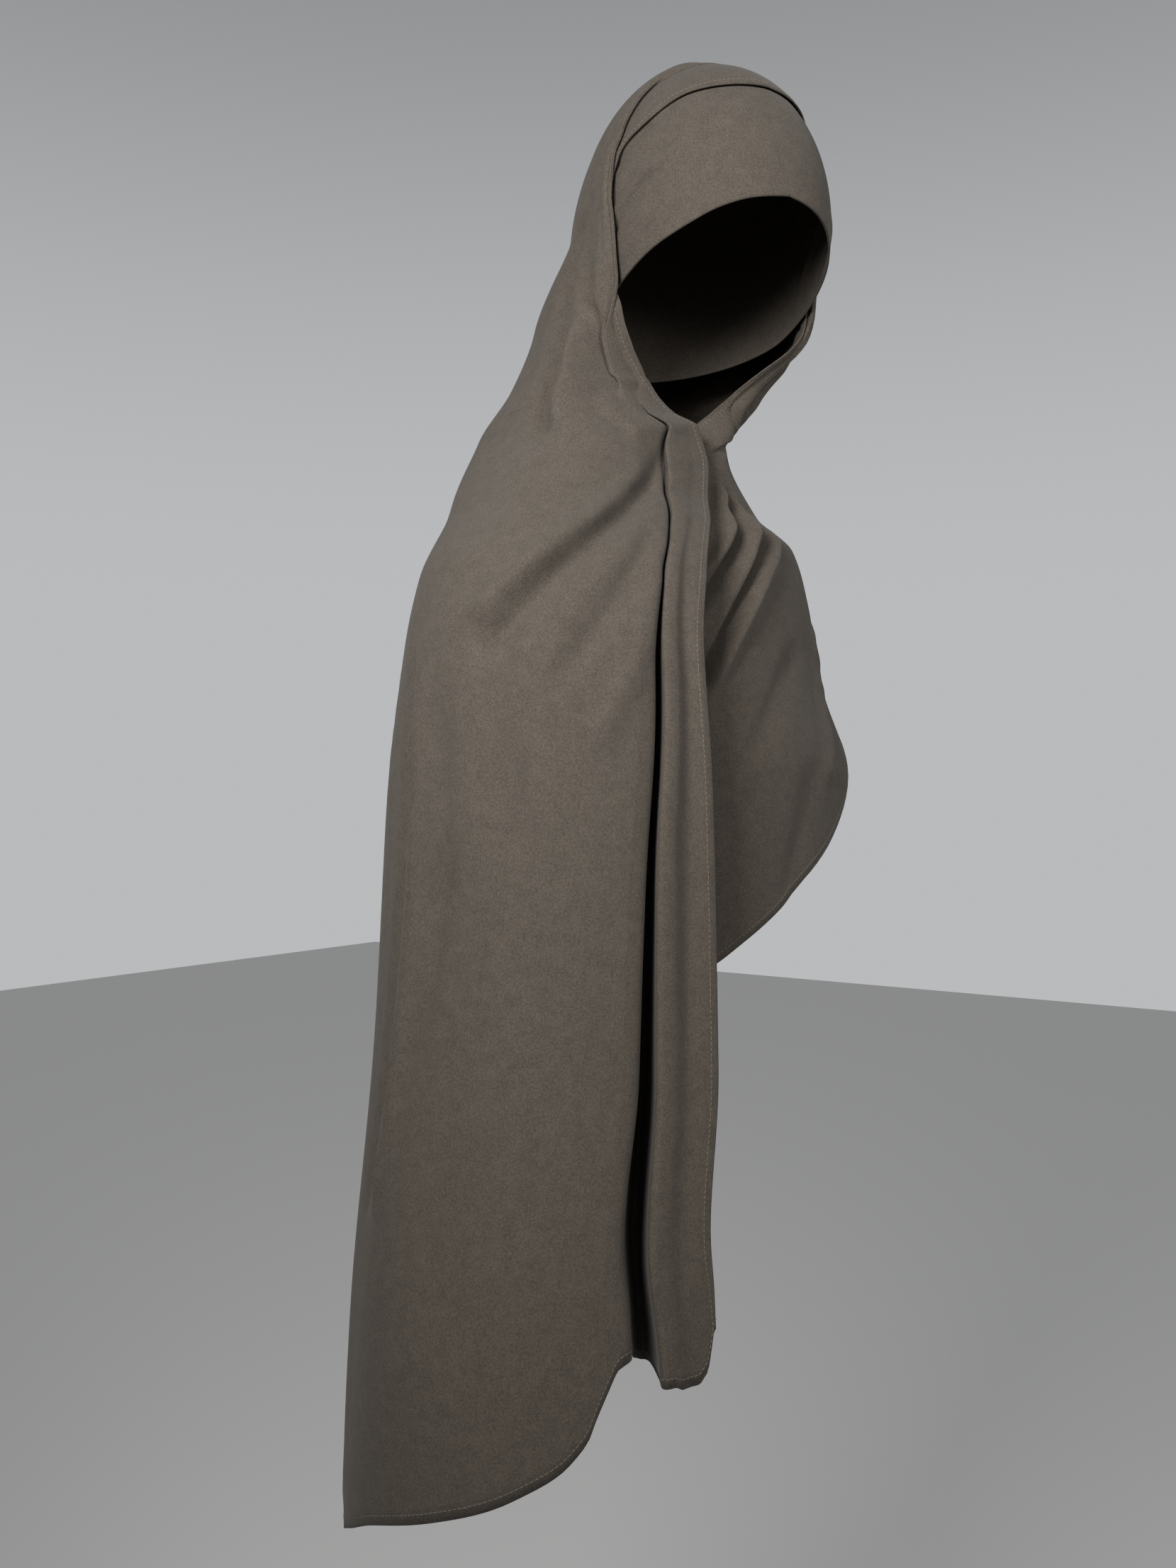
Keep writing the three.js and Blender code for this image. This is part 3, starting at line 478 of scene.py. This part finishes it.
def cloth_points(side, u, course):
    """Places of the cloth for station numbers u (across) and courses (down)."""
    down = course[:, None]
    across = u[None, :]
    key = "right" if side > 0 else "left"
    first, near = [form_point(side, *lay_out(side, share, course)) for share in (0.0, PROBE_SHARE)]
    length = np.linalg.norm(near - first, axis=-1)[:, None] / PROBE_SHARE
    share = across_stations(PLEAT_IN, course, np.minimum(u, STATIONS - 1)) / length
    out = across_stations(PLEAT_OUT, course, np.minimum(u, STATIONS - 1)) * LAYER_PITCH
    past = np.clip((across - STATIONS + 1) / (LAST_COLUMN - STATIONS + 1), 0, 1) ** BACK_CROWDING
    out = out + ripple_height(across, down)
    share = mix(share, 1, past)
    out = out * (1 - smooth(past, 0, 0.3))
    if side < 0:
        opened = smooth(down, 1.02, 1.2)
        share = mix(share, (across / LAST_COLUMN) ** LEFT_CROWDING, opened)
        out = out * (1 - opened)
    angle, level = lay_out(side, np.maximum(share, 0), down)
    angle = angle + np.minimum(share, 0) * DEGREES_PER_SHARE
    reach = along(HUG, "course", key + "_reach", down)
    hug = mix(along(HUG, "course", key, down), 1, smooth(share / reach, 0, 1))
    folds = fold_height(side, angle, level)
    if side > 0:
        folds = folds * smooth(across, STATIONS - 4.5, STATIONS - 3)
    else:
        folds = folds * smooth(down, 1.05, 1.2)
        folds = folds - UNDERLAP_DEPTH * (1 - smooth(angle, -30, 30)) * smooth(down, 1.1, 1.3)
    return form_point(side, angle, level, REST_LIFT + out + folds, hug)


print("the middle of the sheet's wall lies", REST_LIFT, "mm outside the form")


# %% [markdown]
# Both pieces take the same kind of cloth: a fine viscose jersey, matt, a little mottled where the knit
# turns towards the light, and paler at grazing angles because of its short fibres. Shader sums are
# written as plain sums by a small class, which makes a Math node for each sign.

# %% Materials
class Value:
    """A socket of a material's nodes that can be added, multiplied and compared."""

    def __init__(self, tree, socket):
        self.tree, self.socket = tree, socket

    def math(self, operation, other, first=False):
        """One Math node of this and another value, which comes first if first is set."""
        pair = [other, self] if first else [self, other]
        return make(self.tree, "ShaderNodeMath", "Value", pair, operation=operation)

    def __add__(self, other):
        return self.math("ADD", other)

    def __radd__(self, other):
        return self.math("ADD", other, first=True)

    def __sub__(self, other):
        return self.math("SUBTRACT", other)

    def __rsub__(self, other):
        return self.math("SUBTRACT", other, first=True)

    def __mul__(self, other):
        return self.math("MULTIPLY", other)

    def __rmul__(self, other):
        return self.math("MULTIPLY", other, first=True)

    def __truediv__(self, other):
        return self.math("DIVIDE", other)

    def __rtruediv__(self, other):
        return self.math("DIVIDE", other, first=True)

    def ramp(self, start, end):
        """0 at start and 1 at end, in an even S."""
        t = ((self - start) / (end - start)).math("MINIMUM", 1).math("MAXIMUM", 0)
        return t * t * (t * -2 + 3)


def make(tree, kind, output, inputs=(), **settings):
    """Adds a node, fills its inputs by place or by name, and gives one of its outputs."""
    node = tree.nodes.new(kind)
    for name, value in settings.items():
        setattr(node, name, value)
    named = inputs.items() if isinstance(inputs, dict) else enumerate(inputs)
    for name, value in named:
        if isinstance(value, Value):
            tree.links.new(value.socket, node.inputs[name])
        else:
            node.inputs[name].default_value = value
    return Value(tree, node.outputs[output])


JERSEY_DARK = (0.038, 0.0325, 0.0262, 1)
JERSEY_LIT = (0.064, 0.0542, 0.0438, 1)
HEM_BAND = 5.2


def jersey(name):
    """Knitted jersey with a turned edge, from the mesh's own distance to that edge."""
    material = bpy.data.materials.new(name)
    material.use_nodes = True
    tree = material.node_tree
    shader = tree.nodes["Principled BSDF"]
    place = make(tree, "ShaderNodeTexCoord", "Object")
    knit = make(tree, "ShaderNodeTexNoise", 0, {"Vector": place, "Scale": 900, "Detail": 2})
    cloudy = make(tree, "ShaderNodeTexNoise", 0, {"Vector": place, "Scale": 130, "Detail": 3})
    tone = knit * 0.75 + cloudy * 0.25
    colour = make(
        tree,
        "ShaderNodeMix",
        2,
        {0: tone.ramp(0.25, 0.75), 6: JERSEY_DARK, 7: JERSEY_LIT},
        data_type="RGBA",
    )
    fine_relief = knit * 0.25
    edge = make(tree, "ShaderNodeAttribute", "Fac", attribute_name="edge_mm")
    band = edge.ramp(HEM_BAND + 0.9, HEM_BAND - 0.3)
    relief = {"Strength": 0.6, "Distance": MM, "Height": fine_relief + band * 0.5}
    bump = make(tree, "ShaderNodeBump", 0, relief)
    tree.links.new(colour.socket, shader.inputs["Base Color"])
    tree.links.new(bump.socket, shader.inputs["Normal"])
    shader.inputs["Roughness"].default_value = 0.92
    shader.inputs["Specular IOR Level"].default_value = 0.12
    shader.inputs["Sheen Weight"].default_value = 0.05
    shader.inputs["Sheen Roughness"].default_value = 0.5
    return material


veil_jersey = jersey("sheet_jersey")
cap_jersey = jersey("tight_jersey")
thread_paint = bpy.data.materials.new("sewing_thread")
thread_paint.use_nodes = True
thread_shader = thread_paint.node_tree.nodes["Principled BSDF"]
thread_shader.inputs["Base Color"].default_value = (0.115, 0.098, 0.078, 1)
thread_shader.inputs["Roughness"].default_value = 0.7
thread_shader.inputs["Specular IOR Level"].default_value = 0.25
print("materials:", veil_jersey.name, cap_jersey.name, thread_paint.name)

# %% [markdown]
# Cloth starts as a flat grid, like a real cut of jersey, and each crossing of the grid is then hung in
# its place. The two halves are one grid: it runs from the right front edge round the back to the left
# front edge, and its first row closes along the crown. A wall of even thickness is added last.

# %% Helpers for the pieces
def dress(obj, material):
    """Gives a mesh its material and a smooth surface."""
    obj.data.materials.clear()
    obj.data.materials.append(material)
    for polygon in obj.data.polygons:
        polygon.use_smooth = True


def finish_piece(obj, material, thickness):
    """Gives an open cloth its wall, then its material and a smooth surface."""
    wall = obj.modifiers.new("wall", "SOLIDIFY")
    wall.thickness = thickness * MM
    wall.offset = 0
    bpy.context.view_layer.objects.active = obj
    bpy.ops.object.modifier_apply(modifier=wall.name)
    dress(obj, material)


def lengths(points, axis):
    """Distances along the rows or columns of a grid of points, from its first one."""
    steps = np.linalg.norm(np.diff(points, axis=axis), axis=-1)
    start = np.zeros_like(np.take(steps, [0], axis=axis))
    return np.concatenate([start, np.cumsum(steps, axis=axis)], axis=axis)


def numbers(mesh, name, values):
    """Stores one number for each vertex, for the shader to read."""
    mesh.attributes.new(name, "FLOAT", "POINT").data.foreach_set("value", values.ravel())


# %% The sheet
STATION_STEPS, BACK_STEPS = 6, 62
HEAD_STEPS, FALL_STEPS = 64, 126
FALL_CROWDING = 1.3
MERGE_DISTANCE = 0.01

u = np.concatenate(
    [
        np.arange((STATIONS - 1) * STATION_STEPS) / STATION_STEPS,
        np.linspace(STATIONS - 1, LAST_COLUMN, BACK_STEPS + 1),
    ]
)
course = np.concatenate(
    [
        np.arange(HEAD_STEPS) / HEAD_STEPS,
        1 + np.linspace(0, 1, FALL_STEPS + 1) ** FALL_CROWDING,
    ]
)
right, left = [cloth_points(side, u, course) for side in (1, -1)]
seam = (right[0] + left[0]) / 2
right[0], left[0] = seam, seam
spine = (right[:, -1] + left[:, -1]) / 2
right[:, -1] = spine
whole = np.concatenate([right, left[:, -2::-1]], axis=1)
rows, columns = whole.shape[:2]

bpy.ops.mesh.primitive_grid_add(x_subdivisions=columns - 1, y_subdivisions=rows - 1, size=2)
veil = bpy.context.object
veil.name = "veil_cloth"
place = np.empty(rows * columns * 3)
veil.data.vertices.foreach_get("co", place)
place = place.reshape(-1, 3)
column_of = np.rint((place[:, 0] + 1) / 2 * (columns - 1)).astype(int)
row_of = np.rint((place[:, 1] + 1) / 2 * (rows - 1)).astype(int)
veil.data.vertices.foreach_set("co", (whole[row_of, column_of] * MM).ravel())

from_right, down_sheet = lengths(whole, 1), lengths(whole, 0)
from_left = from_right[:, -1:] - from_right
from_hem = down_sheet[-1:] - down_sheet
edge = np.minimum(np.minimum(from_right, from_left), from_hem)
numbers(veil.data, "edge_mm", edge[row_of, column_of])
corner = np.empty(len(veil.data.loops), int)
veil.data.loops.foreach_get("vertex_index", corner)
knit = np.stack([from_right, -down_sheet], axis=-1)[row_of, column_of][corner] * MM
veil.data.uv_layers[0].data.foreach_set("uv", knit.ravel())

bpy.ops.object.mode_set(mode="EDIT")
bpy.ops.mesh.select_all(action="DESELECT")
bpy.ops.object.mode_set(mode="OBJECT")
for i in np.nonzero(row_of == 0)[0]:
    veil.data.vertices[i].select = True
bpy.ops.object.mode_set(mode="EDIT")
bpy.ops.mesh.remove_doubles(threshold=MERGE_DISTANCE * MM)
bpy.ops.object.mode_set(mode="OBJECT")
finish_piece(veil, veil_jersey, VEIL_WALL)

# %% [markdown]
# The front edges and the hem are turned in once and sewn down. The seam shows as a line of small
# thread loops, all of one length, a few millimetres inside the edge. One loop is a stretched ball; an
# array repeats it and a curve laid on the cloth carries the row.

# %% The stitches
STITCH_PITCH, STITCH_LENGTH, THREAD = 3, 2.3, 0.42
THREAD_LIFT = 0.1
across_cloth = np.gradient(whole, axis=1)
down_cloth = np.gradient(whole, axis=0)
facing = np.cross(across_cloth, down_cloth)
facing /= np.maximum(np.linalg.norm(facing, axis=-1, keepdims=True), 1e-9)
middle_back = facing[rows // 2, columns // 2]
outside = whole + facing * math.copysign(VEIL_WALL / 2 + THREAD_LIFT, middle_back[1])


def inside_edge(points, away):
    """The line that keeps HEM_BAND from an edge, given rows of points and their distances from it."""
    axes = range(points.shape[-1])
    line = [[np.interp(HEM_BAND, a, p[:, k]) for k in axes] for a, p in zip(away, points)]
    return np.array(line)


def stitch_row(name, line):
    """A row of loops along a line of points."""
    curve = bpy.data.curves.new(name, "CURVE")
    curve.dimensions = "3D"
    spline = curve.splines.new("POLY")
    spline.points.add(len(line) - 1)
    spline.points.foreach_set("co", np.column_stack([line * MM, np.ones(len(line))]).ravel())
    guide = bpy.data.objects.new(name + "_guide", curve)
    bpy.context.collection.objects.link(guide)
    bpy.ops.mesh.primitive_uv_sphere_add(segments=6, ring_count=4, radius=MM, rotation=(0, math.pi / 2, 0))
    loop = bpy.context.object
    loop.name = name
    bpy.ops.object.transform_apply(rotation=True)
    loop.scale = (STITCH_LENGTH / 2, THREAD / 2, THREAD / 2)
    bpy.ops.object.transform_apply(scale=True)
    repeat = loop.modifiers.new("repeat", "ARRAY")
    repeat.fit_type = "FIT_LENGTH"
    repeat.fit_length = np.linalg.norm(np.diff(line, axis=0), axis=1).sum() * MM
    repeat.use_relative_offset = False
    repeat.use_constant_offset = True
    repeat.constant_offset_displace = (STITCH_PITCH * MM, 0, 0)
    follow = loop.modifiers.new("follow", "CURVE")
    follow.object = guide
    for modifier in ("repeat", "follow"):
        bpy.ops.object.modifier_apply(modifier=modifier)
    bpy.data.objects.remove(guide)
    return loop


seams = [
    stitch_row("right_stitches", inside_edge(outside, from_right)),
    stitch_row("left_stitches", inside_edge(outside[:, ::-1], from_left[:, ::-1])),
    stitch_row("hem_stitches", inside_edge(outside[::-1].swapaxes(0, 1), from_hem[::-1].T)),
]
bpy.ops.object.select_all(action="DESELECT")
for row_of_loops in seams:
    row_of_loops.select_set(True)
bpy.context.view_layer.objects.active = seams[0]
bpy.ops.object.join()
stitches = bpy.context.object
stitches.name = "stitches"
dress(stitches, thread_paint)
print("the stitches:", len(stitches.data.polygons), "faces")

# %% [markdown]
# The under-cap is a tube of jersey sewn to the shape of a head. Half of a ball has the same layout:
# its pole becomes the crown and its rim the cap's edge, which crosses the brow and dips at the nape.

# %% The under-cap
CAP_EDGE = table(
    "angle level",
    (0, 1.02),
    (18, 1.04),
    (32, 1.07),
    (47, 1.12),
    (62, 1.17),
    (79, 1.24),
    (100, 1.32),
    (180, 1.42),
)


CAP_FOLDS = table(
    "angle level end_angle end_level width height",
    (84, 0.77, 56, 0.61, 3.2, 1.1),
    (82, 0.81, 58, 0.66, 3.2, -2.4),
    (84, 1.03, 50, 0.85, 3, 1.1),
    (82, 1.07, 52, 0.89, 3, -2.8),
    (80, 0.95, 50, 0.78, 5, -1.6),
    (66, 1.12, 34, 1.01, 4, 0.9),
)


def cap_fold_height(angle, level):
    """The small folds where the cap is pulled tight, each a straight line that fades at both ends."""
    total = np.zeros_like(angle)
    for start, top, end, bottom, width, height in zip(*CAP_FOLDS.values()):
        begin, finish = flat(start, top), flat(end, bottom)
        run = finish - begin
        place = flat(abs(angle), level) - begin
        t = place @ run / (run @ run)
        away = np.linalg.norm(place - t[..., None] * run, axis=-1) * LEVEL_LENGTH * 0.8
        fade = smooth(t, -0.3, 0.2) * (1 - smooth(t, 0.5, 1.1))
        total += height * np.exp(-((away / width) ** 2)) * fade
    return total


def head_point(angle, level, lift):
    """A place on the head, which narrows below its widest part."""
    drop = drop_of(level)
    below = np.maximum(drop - CROWN_DROP, 0) / (HEAD_HEIGHT - CROWN_DROP)
    on_crown = np.minimum(level, 1) * math.pi / 2
    ring = np.where(level < 1, np.sin(on_crown), np.sqrt(np.maximum(1 - below**2, 0.05)))
    wider = lift * np.where(level < 1, ring, 1)
    a, turn = np.radians(angle), math.radians(HEAD_TURN)
    across = (HEAD_WIDTH / 2 * ring + wider) * np.sin(a)
    ahead = (HEAD_DEPTH / 2 * ring + wider) * np.cos(a)
    return np.stack(
        [
            -across * math.cos(turn) - ahead * math.sin(turn),
            across * math.sin(turn) - ahead * math.cos(turn),
            lift * np.cos(on_crown) - drop,
        ],
        axis=-1,
    )


bpy.ops.mesh.primitive_uv_sphere_add(segments=320, ring_count=240, radius=1)
cap = bpy.context.object
cap.name = "cap_cloth"
bpy.ops.object.mode_set(mode="EDIT")
bpy.ops.mesh.select_all(action="DESELECT")
bpy.ops.object.mode_set(mode="OBJECT")
for vertex in cap.data.vertices:
    vertex.select = vertex.co.z < -0.001
bpy.ops.object.mode_set(mode="EDIT")
bpy.ops.mesh.delete(type="VERT")
bpy.ops.object.mode_set(mode="OBJECT")
ball = np.empty(len(cap.data.vertices) * 3)
cap.data.vertices.foreach_get("co", ball)
ball = ball.reshape(-1, 3)
angle = np.degrees(np.arctan2(-ball[:, 0], -ball[:, 1]))
bottom = along(CAP_EDGE, "angle", "level", abs(angle))
share = np.arccos(np.clip(ball[:, 2], -1, 1)) / (math.pi / 2)
level = np.maximum(bottom * share, 0.0001)
placed = head_point(angle, level, CAP_WALL / 2 + cap_fold_height(angle, level))
cap.data.vertices.foreach_set("co", (placed * MM).ravel())
numbers(cap.data, "edge_mm", (bottom - level) * LEVEL_LENGTH)
finish_piece(cap, cap_jersey, CAP_WALL)
print("the under-cap:", len(cap.data.polygons), "faces")

# %% [markdown]
# Each new piece stands for a solid of the CAD model and rides on the same body. The sheet is declared
# with a guess of its flat size and with the area that hangs here. That area is less than half of the
# flat size: gathered and doubled cloth is modelled only once, and the real sheet may be smaller.

# %% Pieces and what they stand for
for piece, node, slot in (
    (veil, "veil", "veil_jersey"),
    (stitches, "veil", "veil_jersey"),
    (cap, "under_cap", "cap_jersey"),
):
    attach(piece, "root")
    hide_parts(node)
print("front edges:", down_sheet[-1, 0].round(), down_sheet[-1, -1].round(), "mm")
print("hem:", from_right[-1, -1].round(), "mm, widest:", from_right[:, -1].max().round(), "mm")

# %% [markdown]
# The photograph was taken from the wearer's right front, a little under a metre away and level with
# the elbow. A soft light stands near the camera, to its left, and a broader and weaker one to its
# right. A pale room fills the rest: it is bright all around and darker overhead.

# %% Camera, light and floor
VIEW_YAW = math.radians(55)
VIEW_DISTANCE, VIEW_ASIDE, VIEW_DROP = 0.944, -0.0758, -0.466
LENS, SENSOR_WIDTH = 32.55, 36
ahead = Vector((math.sin(VIEW_YAW), math.cos(VIEW_YAW), 0))
aside = Vector((math.cos(VIEW_YAW), -math.sin(VIEW_YAW), 0))
eye = ahead * -VIEW_DISTANCE + aside * VIEW_ASIDE + Vector((0, 0, VIEW_DROP))
bpy.ops.object.camera_add(location=eye, rotation=ahead.to_track_quat("-Z", "Y").to_euler())
camera = bpy.context.object
camera.data.lens = LENS
camera.data.sensor_width = SENSOR_WIDTH
bpy.context.scene.camera = camera

LAMP_TARGET = Vector((0, 0, -0.3))
LAMP_SPREAD = math.radians(110)
ROOM_GLOW, OVERHEAD_SHADE = 0.82, 0.62
FLOOR_DROP, FLOOR_SIZE = -1.5, 12


def soft_light(name, towards_camera, to_left, up, power, size):
    """A square lamp aimed at the upper chest, placed by how far it is towards the camera and aside."""
    spot = ahead * -towards_camera - aside * to_left + Vector((0, 0, up))
    facing = (LAMP_TARGET - spot).to_track_quat("-Z", "Y")
    bpy.ops.object.light_add(type="AREA", location=spot, rotation=facing.to_euler())
    lamp = bpy.context.object
    lamp.name = name
    lamp.data.energy = power
    lamp.data.size = size
    lamp.data.spread = LAMP_SPREAD


soft_light("key", 0.95, 0.5, 0.04, 8.7, 0.4)
soft_light("fill", 1.1, -0.75, 0.2, 5.4, 0.6)
world = bpy.data.worlds.new("pale room")
bpy.context.scene.world = world
world.use_nodes = True
sky = world.node_tree.nodes["Background"]
sky.inputs["Color"].default_value = (0.9, 0.92, 0.95, 1)
direction = make(world.node_tree, "ShaderNodeTexCoord", "Generated")
upwards = make(world.node_tree, "ShaderNodeSeparateXYZ", "Z", [direction])
glow = ROOM_GLOW * (1 - OVERHEAD_SHADE * upwards.ramp(0.12, 0.55))
world.node_tree.links.new(glow.socket, sky.inputs["Strength"])
bpy.ops.mesh.primitive_plane_add(size=FLOOR_SIZE, location=(0, 0, FLOOR_DROP))
floor = bpy.context.object
floor.name = "floor"
floor_paint = bpy.data.materials.new("floor_paint")
floor_paint.use_nodes = True
floor_shader = floor_paint.node_tree.nodes["Principled BSDF"]
floor_shader.inputs["Base Color"].default_value = (0.72, 0.71, 0.69, 1)
floor_shader.inputs["Roughness"].default_value = 0.9
floor.data.materials.append(floor_paint)
print("camera, lamps and floor:", camera.name, FLOOR_DROP, "metres down")
